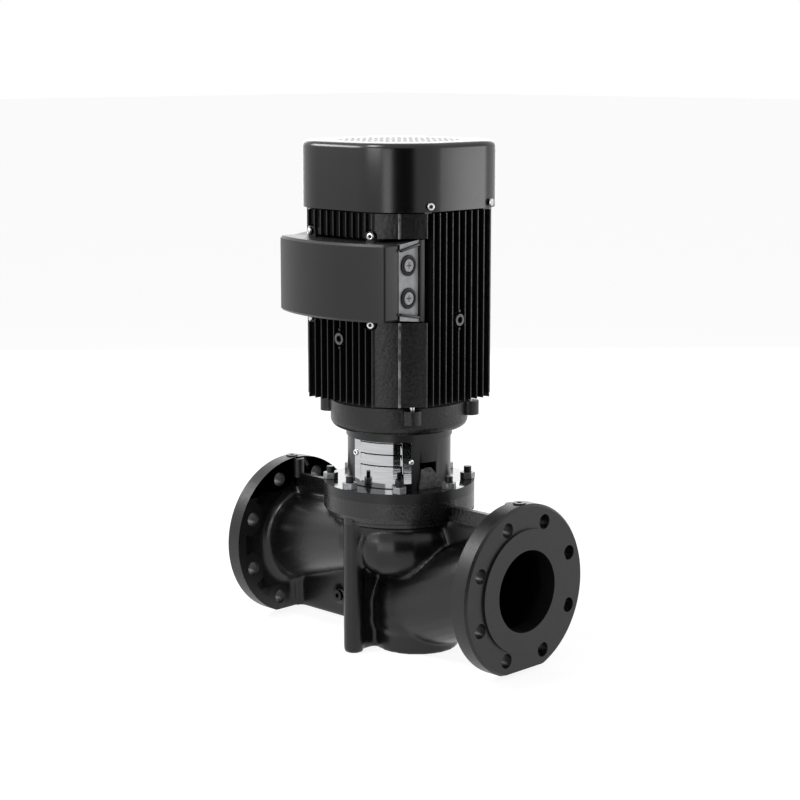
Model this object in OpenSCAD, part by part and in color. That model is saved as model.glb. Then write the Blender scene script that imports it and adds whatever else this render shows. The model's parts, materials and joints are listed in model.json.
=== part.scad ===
// In-line circulation pump: cast casing with two pipe flanges, upright finned motor.
// The origin is on the shaft axis at the foot, +Z is up and +X points to the suction port.

/* [Ports] */
// Distance from port face to port face
port_length = 450; // [430:5:480]
// Height of the pipe axis above the foot
axis_height = 108; // [106:1:114]
// Outside diameter of a port flange
flange_d = 220; // [212:1:228]
// Thickness of a port flange with its raised face
flange_t = 27; // [24:1:30]
// Diameter of the raised sealing face
raised_d = 158; // [146:1:160]
// Height of the raised sealing face
raised_h = 3; // [2:0.5:4]
// Port bore
bore_d = 105; // [96:1:108]
// From the centre of a bolt hole to the rim of its flange
hole_edge = 20; // [17:1:21]
// Flange bolt hole
flange_hole_d = 19; // [16:0.5:20]
// Number of flange bolts
flange_holes = 8; // [4:4:8]
// Height of the flat that is cut on the rim of each flange
flange_flat_z = 6.5; // [4:0.5:8]

/* [Casing] */
// Height of the volute centre above the pipe axis
volute_rise = 30; // [28:1:32]
// Outer radius of the casing tube of the suction bend
bend_r = 60; // [57:1:62]
// Wall of the casing
casing_wall = 8; // [6:0.5:9]
// Outer radius of the pump chamber
drum_r = 84; // [83:0.5:88]
// Radius from the shaft to the middle of the volute tube
volute_ring_r = 64.4; // [60:0.1:66]
// Tube radius of the volute where it is widest
volute_big_r = 31; // [28:0.5:33]
// Tube radius of the volute where it starts
volute_small_r = 19; // [17:0.5:22]
// Radius of the foot disc
foot_r = 55; // [50:1:57]
// Distance of the foot disc from the shaft axis
foot_x = 33; // [30:1:38]
// Height of the foot disc
foot_h = 22; // [18:1:26]
// Radius of the two support pillars
pillar_r = 13; // [11:0.5:14]
// Distance of each pillar from the shaft axis
pillar_y = 84; // [82:0.5:88]
// Thickness of the casing webs
web_t = 10; // [7:0.5:12]
// Radius of the head flange
head_r = 99; // [97:0.5:104]
// Height of the seam between casing and stool
seam_z = 205; // [203:0.5:210]
// Thickness of the head flange of the casing
head_t = 21; // [19:0.5:23]
// Pitch radius of the head studs
stud_ring_r = 90; // [89.5:0.5:92]
// Number of head studs
studs = 8; // [6:2:8]
// Stud diameter
stud_d = 10; // [8:1:10]
// Across flats of the stud nuts
nut_af = 17; // [15:0.5:17]

/* [Wet end] */
// Impeller radius
impeller_r = 70; // [64:1:72]
// Number of impeller vanes
vanes = 6; // [5:1:7]
// Radius of the impeller eye
eye_r = 36; // [32:1:38]
// Shaft diameter at the coupling
shaft_d = 28; // [24:1:30]

/* [Stool] */
// Thickness of the stool flange
stool_flange_t = 13; // [11:0.5:15]
// Height of the stool above its flange
stool_h = 72.5; // [70:0.5:80]
// Outer radius of the stool tube
stool_r = 67.5; // [66:0.5:70]
// Wall of the stool tube
stool_wall = 7.5; // [6:0.5:9]
// Thickness of the guard sheet
guard_t = 0.8; // [0.6:0.1:1.5]
// Middle of the front guard, as an angle about the shaft
guard_angle = -67; // [-72:1:-64]
// Outer radius of the shaft coupling
coupling_r = 33; // [31:0.5:36]
// Length of the shaft coupling
coupling_h = 46; // [44:1:48]

/* [Motor] */
// Outer radius of the drive end shield
shield_r = 89.5; // [88:0.5:92]
// Height of the drive end shield
shield_h = 35.5; // [34:0.5:40]
// Length of the fins on the motor frame
fin_h = 241; // [225:1:260]
// Distance from the shaft to the fin tips
fin_tip = 106; // [102:1:108]
// Fins on each face
fins = 11; // [7:2:11]
// Distance from fin to fin
fin_pitch = 11.5; // [10:0.1:12]
// Thickness of a fin
fin_t = 1.5; // [1.2:0.1:2.6]
// Outer radius of the stator core
stator_r = 80; // [76:1:82]
// Length of the stator core
core_h = 130; // [110:5:140]
// Radius of the rotor core
rotor_r = 48; // [44:1:52]
// Stator slots
slots = 24; // [18:6:24]
// Half width of the fan cover
cover_half = 109; // [107:0.5:112]
// Height of the fan cover
cover_h = 84; // [78:1:96]
// Corner radius of the fan cover
cover_corner = 73; // [65:1:78]
// Wall of the fan cover
cover_wall = 2; // [1.5:0.1:3]
// Hole in the air grille
grille_hole_d = 7; // [5:0.5:8]
// Distance between holes in the air grille
grille_pitch = 10.5; // [9:0.5:13]
// Number of fan blades
blades = 7; // [5:1:9]

/* [Terminal box] */
// Half width of the terminal box cover
box_half = 95; // [92:0.5:98]
// Height of the terminal box cover
box_h = 96; // [92:1:104]
// Height of the middle of the terminal box above the fins' lower end
box_rise = 158.5; // [150:0.5:165]
// Distance from the shaft to the joint of the terminal box
box_joint_y = 98; // [97:0.5:101]
// Depth of the terminal box cover at its middle
box_depth = 46; // [40:1:52]
// Diameter of a cable entry thread
entry_d = 22; // [18:1:22]

/* [Hidden] */
$fn = 64;

// Clearances
fit = 0.02;
thread_gap = 0.05;
run_gap = 0.05;
free_gap = 0.3;
seat_gap = 0.1;
over = 1;

// Heights of the casing
volute_z = axis_height + volute_rise;
flange_pcd = flange_d - 2*hole_edge;
// Extra width of the discharge holes, so that the two rows can be told apart
port_step = 0.4;
chamber_r = drum_r - casing_wall;
neck_bore = eye_r + 2;
neck_r = neck_bore + 7;
bend_bore = bend_r - casing_wall;
bend_low_z = axis_height - 48;
drum_z0 = volute_z - 36;
floor_z = volute_z - 26;
cone_h = 13;
head_z0 = seam_z - head_t;
cover_seat_r = stud_ring_r - stud_d/2 - 3;
cover_flange_t = 11;
gasket_t = 1;
ledge_z = seam_z - cover_flange_t - gasket_t;
gusset_z = seam_z - 9;
web_z = 8;
lobe_start = -63;
lobe_tall = 1.16;
drum_slope = 26;
lobe_turn = 270;

// Heights of the stool and the coupling
stool_z = seam_z + stool_flange_t;
stool_top = stool_z + stool_h;
collar_h = 11;
collar_r = stool_r + 2;
stool_bore = stool_r - stool_wall;
guard_h = stool_h - collar_h - 2;
guard_half = 35;
guard_r = stool_r + seat_gap;
shaft_r = shaft_d/2;
coupling_z = stool_z + 9;
shaft_joint_z = coupling_z + coupling_h/2;
clamp_rise = 12;
clamp_y = coupling_r - 11;
clamp_r = 4;
clamp_seat = 15;
pin_r = 3;
pin_z = coupling_z + 5;

// Heights of the motor
shield_top = stool_top + shield_h;
fin_z = shield_top + 7;
frame_top = fin_z + fin_h;
frame_r = stator_r + 8;
core_z = fin_z + 42;
cover_z = frame_top + 2;
cover_top = cover_z + cover_h;
drive_bearing_z = stool_top + 10;
rear_bearing_z = frame_top - 12;
rotor_shaft_r = shaft_r + 5;
rear_seat_r = 12.5;
lug_x = shield_r - 13.5;
lug_y = 53.3;
lug_r = 12;
lug_bolt_r = 3.2;
lug_h = 18;
lug_seat = 6;
stool_screw_ring = 52;
stool_screw_r = 4;
fan_z = frame_top + 24;
fan_h = 34;
fan_r = 84;
fan_seat_r = 11;
cover_screw_y = 53;
cover_screw_z = cover_z + 7;

// Terminal box
box_z = fin_z + box_rise;
box_corner_depth = 24;
box_wall = 3;
base_half = box_half + 2;
base_h = box_h - 2;
base_flare = 5;
base_back = 54;
ear_x = 52.5;
ear_z = box_h/2 + 6.8;
ear_r = 6.5;
entry_y = 80.5;
entry_step = 20.3;

// Seal and impeller stack
impeller_z = volute_z;
shroud_t = 4;
outlet_w = 14;
hub_r = 20;
hub_top = impeller_z + 12;
neck_inner = 30;

// A pipe flange about the X axis, from x = 0 at its back to its raised face
module flange_disc() {
    chamfer = 3;
    ring_t = flange_t - raised_h;
    rotate([0, 90, 0])
    rotate_extrude($fn = 96)
    polygon([
        [0, 0], [flange_d/2, 0], [flange_d/2, ring_t - chamfer], [flange_d/2 - chamfer, ring_t],
        [raised_d/2, ring_t], [raised_d/2, flange_t], [0, flange_t]
    ]);
}

module flange_cuts(d) {
    rotate([0, 90, 0])
    for (i = [0:flange_holes - 1])
        rotate(360/flange_holes*(i + 0.5)) translate([flange_pcd/2, 0, -over])
        cylinder(h = flange_t + 2*over, d = d);
}

// Both flanges face outwards: side is 1 for suction and -1 for discharge
module at_port(side) {
    translate([side*(port_length/2 - flange_t), 0, axis_height])
    rotate([0, 0, side > 0 ? 0 : 180])
    children();
}

// Closed skin over rings of points, each ring turning left-handed about the way they advance
module skin(points, sides) {
    rings = len(points)/sides;
    walls = [for (i = [0:rings - 2]) for (s = [0:sides - 1])
        let(a = i*sides, n = (s + 1) % sides)
        [a + s, a + n, a + sides + n, a + sides + s]];
    first = [for (s = [sides - 1:-1:0]) s];
    last = [for (s = [0:sides - 1]) (rings - 1)*sides + s];
    polyhedron(points, concat([first, last], walls), convexity = 6);
}

// Suction bend that brings the tube down below the volute
drop = axis_height - bend_low_z;
bend_run = port_length/2 - flange_t - foot_x;
bend_rings = 14;
bend_sides = 28;

function smooth(t) = t <= 0 ? 0 : t >= 1 ? 1 : t*t*(3 - 2*t);
function bend_z(x) = bend_low_z + drop*smooth((x - foot_x + 8)/(bend_run + 5));
function bend_point(x, r, side) = let(tilt = atan(bend_z(x + 0.5) - bend_z(x - 0.5)))
    [x - r*sin(side)*sin(tilt), r*cos(side), bend_z(x) + r*sin(side)*cos(tilt)];

module bend_tube(r) {
    skin([for (i = [0:bend_rings]) for (s = [0:bend_sides - 1])
        bend_point(foot_x + (bend_run + 2)*i/bend_rings, r, -360*s/bend_sides)], bend_sides);
}

// Rounded lower end of the suction bend, above the foot
module bend_end(r, low) {
    round_r = r*0.42;
    translate([foot_x, 0, 0])
    rotate_extrude() {
        intersection() {
            translate([0, bend_low_z]) circle(r);
            translate([0, low + round_r]) square([r, 2*r]);
        }
        translate([0, low]) square([r - round_r, bend_low_z - low]);
        translate([r - round_r, low + round_r]) circle(round_r);
    }
}

// Volute tube as rings along a spiral, closed by a round end where it is widest
lobe_rings = 18;
dome_rings = 4;
lobe_sides = 20;

function lobe_r(t, thick) = volute_big_r + (volute_small_r - volute_big_r)*t - thick;
function lobe_point(angle, r, side) = [
    (volute_ring_r + r*cos(side))*cos(angle),
    (volute_ring_r + r*cos(side))*sin(angle),
    volute_z + r*lobe_tall*sin(side)
];
function dome_angle(i) = 90*(dome_rings - i)/dome_rings;
function ring_angle(i, thick) = i < dome_rings
    ? lobe_start - lobe_r(0, thick)*sin(dome_angle(i))*180/PI/volute_ring_r
    : lobe_start + lobe_turn*(i - dome_rings)/lobe_rings;
function ring_radius(i, thick) = i < dome_rings
    ? max(lobe_r(0, thick)*cos(dome_angle(i)), 2)
    : lobe_r((i - dome_rings)/lobe_rings, thick);

module volute_tube(thick) {
    skin([for (i = [0:dome_rings + lobe_rings]) for (s = [0:lobe_sides - 1])
        lobe_point(ring_angle(i, thick), ring_radius(i, thick), 360*(s + 0.5)/lobe_sides)], lobe_sides);
}

// Straight outlet that widens from the volute to the discharge flange
outlet_from = [-15, -(volute_ring_r - 18), volute_z + 5];
outlet_to = [-(port_length/2 - flange_t), 0, axis_height];
outlet_r1 = 38;
outlet_r2 = bend_r - 2;

module outlet_cone(thick, extra) {
    way = outlet_to - outlet_from;
    run = norm(way);
    grow = (outlet_r2 - outlet_r1)/run;
    low_r = outlet_r1 - thick - grow*extra;
    translate(outlet_from)
    rotate([0, acos(way[2]/run), atan2(way[1], way[0])])
    translate([0, 0, -extra])
    cylinder(h = run + extra + over, r1 = low_r, r2 = outlet_r2 - thick + grow*over);
}

// Concave flare where a tube meets the back of its flange
module flare() {
    f = 14;
    rotate([0, -90, 0])
    rotate_extrude()
    difference() {
        translate([bend_bore + 3, -over]) square([bend_r - bend_bore - 3 + f, f + over]);
        translate([bend_r + f - 0.8, f]) circle(f);
    }
}

module head_flange() {
    rotate_extrude($fn = 96)
    polygon([
        [chamber_r + 2, head_z0 - cone_h], [head_r - 8, head_z0 - cone_h], [head_r - 5, head_z0 - cone_h/2],
        [head_r, head_z0], [head_r, seam_z], [chamber_r + 2, seam_z]
    ]);
}

// Body of the casing, narrower below so that the volute stands out of it
module drum() {
    rotate_extrude($fn = 96)
    polygon([
        [0, drum_z0], [drum_r - drum_slope, drum_z0], [drum_r, drum_z0 + drum_slope],
        [drum_r, head_z0 + over], [0, head_z0 + over]
    ]);
}

module chamber() {
    rotate_extrude($fn = 96)
    polygon([
        [0, floor_z], [chamber_r - 18, floor_z], [chamber_r, floor_z + 16],
        [chamber_r, seam_z], [0, seam_z]
    ]);
}

// Wall that parts the impeller chamber from the suction bend
module chamber_floor() {
    rotate_extrude()
    polygon([
        [0, floor_z - 6], [chamber_r - 18, floor_z - 6], [drum_r + 6, floor_z + 10],
        [drum_r + 6, seam_z], [0, seam_z]
    ]);
}

// Suction neck below the impeller, closed by a round bottom
module neck(r, top) {
    translate([0, 0, bend_low_z])
    rotate_extrude() {
        intersection() {
            circle(r);
            translate([0, -r]) square([r, 2*r]);
        }
        square([r, top - bend_low_z]);
    }
}

module upright_web(points, t) {
    rotate([90, 0, 0]) linear_extrude(t, center = true) polygon(points);
}

module casing_webs() {
    back_x = port_length/2 - flange_t;
    pad_w = 24;
    translate([-web_t/2, -pillar_y, 0]) cube([web_t, 2*pillar_y, head_z0 - 4]);
    for (side = [-1, 1]) translate([0, side*pillar_y, 0]) cylinder(h = head_z0 - 3, r = pillar_r);
    for (side = [-1, 1]) upright_web(
        [[side*(drum_r - 4), gusset_z], [side*(back_x + over), gusset_z],
        [side*(back_x + over), axis_height], [side*(drum_r - 4), axis_height]], web_t - 2);
    upright_web([[-back_x - over, web_z], [-neck_r/2, web_z], [-neck_r/2, axis_height],
        [-back_x - over, axis_height]], web_t);
    translate([-back_x - over, -pad_w/2, web_z]) cube([10 + over, pad_w, 50]);
    translate([web_t/2 - 2, -foot_r + 4, 0]) cube([5, 14, foot_h + 5]);
}

drain_at = [-105, 0, 40];
drain_boss = 12;
drain_r = 6;
gauge_x = port_length/2 - raised_h - (flange_t - raised_h)/2;
gauge_r = 6.5;
gauge_depth = 12;
flange_top = axis_height + flange_d/2;
vent_boss_r = 9;

module casing_bosses() {
    translate([drain_at[0], 0, drain_at[2]]) rotate([90, 0, 0])
    cylinder(h = 2*drain_boss, r = drain_r + 4, center = true);
    for (side = [-1, 1]) translate([side*(port_length/2 - flange_t - 1), 0, gusset_z - 6])
        cylinder(h = flange_top - gusset_z + 4, r = 8);
    rotate([0, 0, 57]) translate([0, 0, head_z0 - 8]) rotate([0, 90, 0])
    rotate_extrude() {
        translate([0, drum_r - 4]) square([vent_boss_r, head_r - 6 - drum_r + 4]);
        intersection() {
            translate([0, head_r - 6]) circle(vent_boss_r);
            translate([0, head_r - 20]) square([vent_boss_r, 40]);
        }
    }
}

module casing_passages() {
    difference() {
        union() {
            bend_tube(bend_bore);
            bend_end(bend_bore + 0.5, 14 + casing_wall);
        }
        chamber_floor();
    }
    neck(neck_bore, floor_z + over);
    translate([0, 0, floor_z - 8]) cylinder(h = 8 + over, r = neck_bore + 6 + fit);
    chamber();
    translate([0, 0, ledge_z]) cylinder(h = seam_z - ledge_z + over, r = cover_seat_r);
    volute_tube(casing_wall - 1);
    outlet_cone(casing_wall, 12);
    for (side = [-1, 1]) at_port(side) translate([-over, 0, 0]) rotate([0, 90, 0])
        cylinder(h = flange_t + 2*over, d = bore_d, $fn = 96);
    at_port(-1) translate([-12, 0, 0]) rotate([0, 90, 0])
    cylinder(h = 13, r = outlet_r2 - casing_wall - 0.7);
}

foot_bolt_r = 5.1;
foot_bolt_depth = 22;

module pump_housing() {
    color("#2b2d2f")
    difference() {
        union() {
            for (side = [-1, 1]) at_port(side) {
                flange_disc();
                flare();
            }
            bend_tube(bend_r);
            bend_end(bend_r + 0.5, 14);
            neck(neck_r, drum_z0 + over);
            translate([foot_x, 0, 0]) cylinder(h = foot_h, r = foot_r);
            drum();
            volute_tube(0);
            outlet_cone(0, 0);
            head_flange();
            casing_webs();
            casing_bosses();
        }
        casing_passages();
        for (side = [-1, 1]) {
            at_port(side) flange_cuts(flange_hole_d + (side < 0 ? port_step : 0));
            translate([side*gauge_x, 0, flange_top - gauge_depth - over])
            cylinder(h = gauge_depth + 20, r = gauge_r + thread_gap);
            translate([side*gauge_x, 0, flange_top - 1]) cylinder(h = 20, r = gauge_r + 1.5 + free_gap);
            translate([side*port_length/2 - 32, -flange_d/2, -20])
            cube([64, flange_d, 20 + flange_flat_z]);
            translate([0, side*pillar_y, -over]) cylinder(h = foot_bolt_depth, r = foot_bolt_r);
        }
        translate([drain_at[0], -1, drain_at[2]]) rotate([90, 0, 0])
            cylinder(h = 20, r = drain_r + thread_gap);
        stud_places() translate([0, 0, seam_z - stud_depth - over])
            cylinder(h = stud_depth + 2*over, r = stud_d/2 + thread_gap);
        translate([-300, -150, -50]) cube([600, 300, 50]);
    }
}

module wear_ring() {
    color("#b08d57")
    translate([0, 0, floor_z - 8])
    difference() {
        cylinder(h = 8, r = neck_bore + 6);
        translate([0, 0, -over]) cylinder(h = 8 + 2*over, r = eye_r + shroud_t + free_gap);
    }
}

stud_depth = 18;
stud_stick = 29.5;
nut_h = 8.4;

module stud_places() {
    for (i = [0:studs - 1]) rotate([0, 0, 360*i/studs]) translate([stud_ring_r, 0, 0]) children();
}

module hexagon(af, h) {
    cylinder(h = h, r = af/2/cos(30), $fn = 6);
}

module nut(af, h, hole_r) {
    difference() {
        hexagon(af, h);
        translate([0, 0, -over]) cylinder(h = h + 2*over, r = hole_r);
    }
}

module housing_studs() {
    color("#8c8f92")
    stud_places() translate([0, 0, seam_z - stud_depth])
    cylinder(h = stud_depth + stud_stick, r = stud_d/2);
}

module housing_nuts() {
    color("#3a3c3e")
    stud_places() translate([0, 0, stool_z]) nut(nut_af, nut_h, stud_d/2 + fit);
}

skirt_low = impeller_z + 14;
vent_r = 4;
vent_at = 50;
vent_angle = 170;
seat_r = shaft_r + 8;

module pump_cover() {
    lid_z = ledge_z + gasket_t;
    skirt_r = chamber_r - free_gap;
    color("#55585a")
    difference() {
        rotate_extrude() {
            translate([seat_r + fit, lid_z])
            square([cover_seat_r - free_gap - seat_r - fit, seam_z - lid_z]);
            translate([skirt_r - casing_wall, skirt_low]) square([casing_wall, seam_z - skirt_low]);
            translate([neck_inner + 14, skirt_low]) square([skirt_r - neck_inner - 14, 6]);
        }
        rotate([0, 0, vent_angle]) translate([vent_at, 0, lid_z - over])
        cylinder(h = cover_flange_t + 2*over, r = vent_r + run_gap);
    }
}

module cover_gasket() {
    color("#6b6f4a")
    translate([0, 0, ledge_z])
    difference() {
        cylinder(h = gasket_t, r = cover_seat_r - free_gap);
        translate([0, 0, -over]) cylinder(h = gasket_t + 2*over, r = chamber_r + 0.1);
    }
}

module vent_screw() {
    color("#c9a44c")
    rotate([0, 0, vent_angle]) translate([vent_at, 0, seam_z - cover_flange_t]) {
        cylinder(h = cover_flange_t + 2, r = vent_r);
        translate([0, 0, cover_flange_t + free_gap]) hexagon(11, 6);
    }
}

// Impeller: two shrouds, curved vanes between them and a hub
vane_arc = 45;
vane_t = 3.6;
vane_centre = [-7.8, -29.7];
half_out = outlet_w/2;
hub_low = impeller_z - 26;

module vane_outline() {
    intersection() {
        translate(vane_centre)
        difference() {
            circle(vane_arc + vane_t/2);
            circle(vane_arc - vane_t/2);
        }
        translate([18, -80]) square([60, 80]);
    }
}

module front_shroud() {
    rotate_extrude()
    polygon([
        [eye_r, -34], [eye_r + shroud_t, -34], [eye_r + shroud_t, -24], [impeller_r - 22, -19],
        [impeller_r, -half_out - shroud_t], [impeller_r, -half_out], [impeller_r - 14, -half_out - 3],
        [eye_r + 10, -15], [eye_r, -21]
    ]);
}

module impeller() {
    color("#7d8084")
    translate([0, 0, impeller_z])
    difference() {
        union() {
            front_shroud();
            translate([0, 0, half_out]) cylinder(h = shroud_t, r = impeller_r);
            translate([0, 0, hub_low - impeller_z]) cylinder(h = hub_top - hub_low, r = hub_r);
            intersection() {
                translate([0, 0, -20]) linear_extrude(20 + half_out + 1)
                for (i = [0:vanes - 1]) rotate(360*i/vanes) vane_outline();
                rotate_extrude()
                polygon([
                    [hub_r - 1, -12], [eye_r, -18], [eye_r + 10, -17],
                    [impeller_r - 14, -half_out - 5], [impeller_r - 1, -half_out - 1],
                    [impeller_r - 1, half_out + 1], [hub_r - 1, half_out + 1]
                ]);
            }
        }
        translate([0, 0, hub_low - impeller_z - over])
        cylinder(h = hub_top - hub_low + 2*over, r = shaft_r - 3 + fit);
    }
}

washer_t = 2.5;
impeller_nut_h = 9;
nut_thread_r = 8;

module impeller_washer() {
    color("#9a9da0")
    translate([0, 0, hub_low - washer_t])
    difference() {
        cylinder(h = washer_t, r = hub_r - 3);
        translate([0, 0, -over]) cylinder(h = washer_t + 2*over, r = nut_thread_r + fit);
    }
}

module impeller_nut() {
    color("#9a9da0")
    translate([0, 0, hub_low - washer_t - impeller_nut_h]) nut(24, impeller_nut_h, nut_thread_r + fit);
}

module pump_shaft() {
    low = hub_low - washer_t - impeller_nut_h - 3;
    color("#b5b8bb")
    difference() {
        rotate_extrude()
        polygon([
            [0, low], [nut_thread_r, low], [nut_thread_r, hub_low], [shaft_r - 3, hub_low],
            [shaft_r - 3, hub_top], [shaft_r, hub_top], [shaft_r, shaft_joint_z - 1], [0, shaft_joint_z - 1]
        ]);
        translate([0, 0, pin_z]) rotate([90, 0, 0])
        cylinder(h = 2*shaft_r + 2*over, r = pin_r + fit, center = true);
    }
}

module ring(inner, outer, h) {
    difference() {
        cylinder(h = h, r = outer);
        translate([0, 0, -over]) cylinder(h = h + 2*over, r = inner);
    }
}

seal_ring_z = ledge_z + gasket_t - 12 - free_gap;

module seal_seat() {
    color("#d8d8d2")
    translate([0, 0, ledge_z + gasket_t]) ring(shaft_r + 0.5, seat_r, 9);
}

module seal_ring() {
    color("#3f3f41")
    translate([0, 0, seal_ring_z]) ring(shaft_r + fit, seat_r - 2, 12);
}

// Coil spring that presses the seal ring on its seat
spring_turns = 5;
spring_steps = 12;
spring_wire = 1.2;
spring_sides = 6;
spring_r = shaft_r + 4;

module seal_spring() {
    low = hub_top + spring_wire + seat_gap;
    high = seal_ring_z - spring_wire - seat_gap;
    last = spring_turns*spring_steps;
    color("#c4c7ca")
    skin([for (i = [0:last]) for (s = [0:spring_sides - 1])
        let(a = 360*i/spring_steps, b = 360*s/spring_sides, r = spring_r + spring_wire*cos(b))
        [r*cos(a), r*sin(a), low + (high - low)*i/last + spring_wire*sin(b)]], spring_sides);
}

// Motor stool with its guard openings, side windows and drain spouts
guard_open = 27;
window_from = -22;
window_to = -0.5;
window_h = 31;
spout_reach = stool_r + 6;
bowl_r = 11;

// Ring sector about the shaft from one angle to another
module sector(from, to, inner, outer, h) {
    rotate([0, 0, from])
    rotate_extrude(angle = to - from, $fn = 96)
    translate([inner, 0]) square([outer - inner, h]);
}

module spout() {
    middle = (window_from + window_to)/2;
    hull() {
        rotate([0, 0, middle - 3]) translate([stool_bore + 1, -8, stool_z - 1]) cube([7, 16, 26]);
        rotate([0, 0, middle + 3]) translate([spout_reach - 4, -20, stool_z - 1]) cube([4, 40, 3.5]);
    }
}

module guard_places() {
    for (side = [0, 180]) rotate([0, 0, side]) {
        rotate([0, 0, guard_angle - guard_half + 3]) translate([stool_r, 0, stool_z + 43]) children();
        rotate([0, 0, guard_angle + guard_half - 2]) translate([stool_r, 0, stool_z + 35]) children();
    }
}

guard_screw_r = 2;

module stool_window(from, to, h) {
    sector(from, to, stool_bore - 3, stool_r + 3, h);
}

module motor_stool() {
    color("#2b2d2f")
    difference() {
        union() {
            difference() {
                union() {
                    translate([0, 0, seam_z]) cylinder(h = stool_flange_t, r = head_r, $fn = 96);
                    translate([0, 0, seam_z]) cylinder(h = stool_top - seam_z, r = stool_r);
                    translate([0, 0, stool_top - collar_h]) cylinder(h = collar_h, r = collar_r);
                }
                for (side = [0, 180]) rotate([0, 0, side]) {
                    translate([0, 0, stool_z + 4])
                    stool_window(guard_angle - guard_open, guard_angle + guard_open, guard_h - 13.5);
                    translate([0, 0, stool_z + 2])
                    stool_window(window_from, window_to, window_h);
                }
            }
            for (side = [0, 180]) rotate([0, 0, side]) spout();
        }
        translate([0, 0, seam_z - over]) cylinder(h = stool_top - collar_h - seam_z + over, r = stool_bore);
        translate([0, 0, seam_z]) cylinder(h = stool_h + stool_flange_t + over, r = spigot_r + fit);
        stud_places() translate([0, 0, seam_z - over])
            cylinder(h = stool_flange_t + 2*over, r = stud_d/2 + thread_gap);
        stool_screw_places() translate([0, 0, stool_top - collar_h - over])
            cylinder(h = collar_h + 2*over, r = stool_screw_r + thread_gap);
        guard_places() rotate([0, -90, 0]) translate([0, 0, -over])
            cylinder(h = stool_wall + 2*over, r = guard_screw_r + thread_gap);
    }
}

spigot_r = 42;
spigot_h = 5;

module stool_screw_places() {
    for (i = [0:3]) rotate([0, 0, 45 + 90*i]) translate([stool_screw_ring, 0, 0]) children();
}

module stool_screws() {
    color("#3a3c3e")
    stool_screw_places() {
        translate([0, 0, stool_top - collar_h]) cylinder(h = collar_h + 8, r = stool_screw_r);
        translate([0, 0, stool_top - collar_h - 5]) hexagon(12, 5);
    }
}

slot_z = 28.5;
slot_step = 15;
slot_h = 1.6;
slot_half = 25;

module guard_sheet() {
    color("#c9ccd0")
    difference() {
        translate([0, 0, stool_z + 1])
        sector(guard_angle - guard_half, guard_angle + guard_half, guard_r, guard_r + guard_t, guard_h);
        for (i = [0:2]) translate([0, 0, stool_z + slot_z + slot_step*i])
            sector(guard_angle - slot_half, guard_angle + slot_half, guard_r - 1, guard_r + 3, slot_h);
        guard_places() rotate([0, 90, 0]) translate([0, 0, -over])
            cylinder(h = 4, r = guard_screw_r + thread_gap);
    }
}

module guard_front() {
    guard_sheet();
}

module guard_rear() {
    rotate([0, 0, 180]) guard_sheet();
}

module guard_screws() {
    color("#d8dadc")
    guard_places() rotate([0, 90, 0]) {
        translate([0, 0, -stool_wall + 1])
        cylinder(h = stool_wall - 1 + guard_t + seat_gap, r = guard_screw_r);
        translate([0, 0, guard_t + seat_gap]) cylinder(h = 2.2, r = guard_screw_r + 2);
    }
}

// Split coupling: two half shells that are clamped on both shafts by four screws
coupling_slit = 1;

module clamp_places() {
    for (x = [-clamp_y, clamp_y]) for (z = [-clamp_rise, clamp_rise])
        translate([x, 0, shaft_joint_z + z]) children();
}

module coupling_half(side) {
    color("#6a6d70")
    difference() {
        translate([0, 0, coupling_z]) cylinder(h = coupling_h, r = coupling_r);
        translate([0, 0, coupling_z - over]) cylinder(h = coupling_h + 2*over, r = shaft_r + fit);
        rotate([0, 0, side > 0 ? 180 : 0]) translate([-2*coupling_r, -coupling_slit, coupling_z - over])
            cube([4*coupling_r, 4*coupling_r, coupling_h + 2*over]);
        clamp_places() rotate([90, 0, 0])
            cylinder(h = 3*coupling_r, r = clamp_r + thread_gap, center = true);
        clamp_places() translate([0, side*clamp_seat, 0]) rotate([side > 0 ? -90 : 90, 0, 0])
            cylinder(h = 2*coupling_r, r = clamp_r + 3.2);
        translate([0, 0, pin_z]) rotate([90, 0, 0])
        cylinder(h = 2*pin_reach, r = pin_r + fit, center = true);
    }
}

pin_reach = shaft_r + 7;

module coupling_half_left() {
    coupling_half(1);
}

module coupling_half_right() {
    coupling_half(-1);
}

module coupling_screws() {
    color("#3a3c3e")
    clamp_places() rotate([-90, 0, 0]) {
        translate([0, 0, -clamp_seat]) cylinder(h = 2*clamp_seat, r = clamp_r);
        translate([0, 0, clamp_seat]) cylinder(h = 7, r = clamp_r + 2.5);
    }
}

module shaft_pin() {
    color("#b5b8bb")
    translate([0, 0, pin_z]) rotate([90, 0, 0]) cylinder(h = 2*pin_reach - 1, r = pin_r, center = true);
}

// Drive end shield: a bowl with a bearing hub and four bolt lugs
shield_wall = 9;
shield_floor = 10;
drive_out_r = 31;
drive_in_r = shaft_r + 1;
drive_w = 16;
rear_out_r = 26;
rear_w = 15;
lip_r = 21;

module lug_places() {
    for (x = [-1, 1]) for (y = [-1, 1]) translate([x*lug_x, y*lug_y, 0]) children();
}

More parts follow.
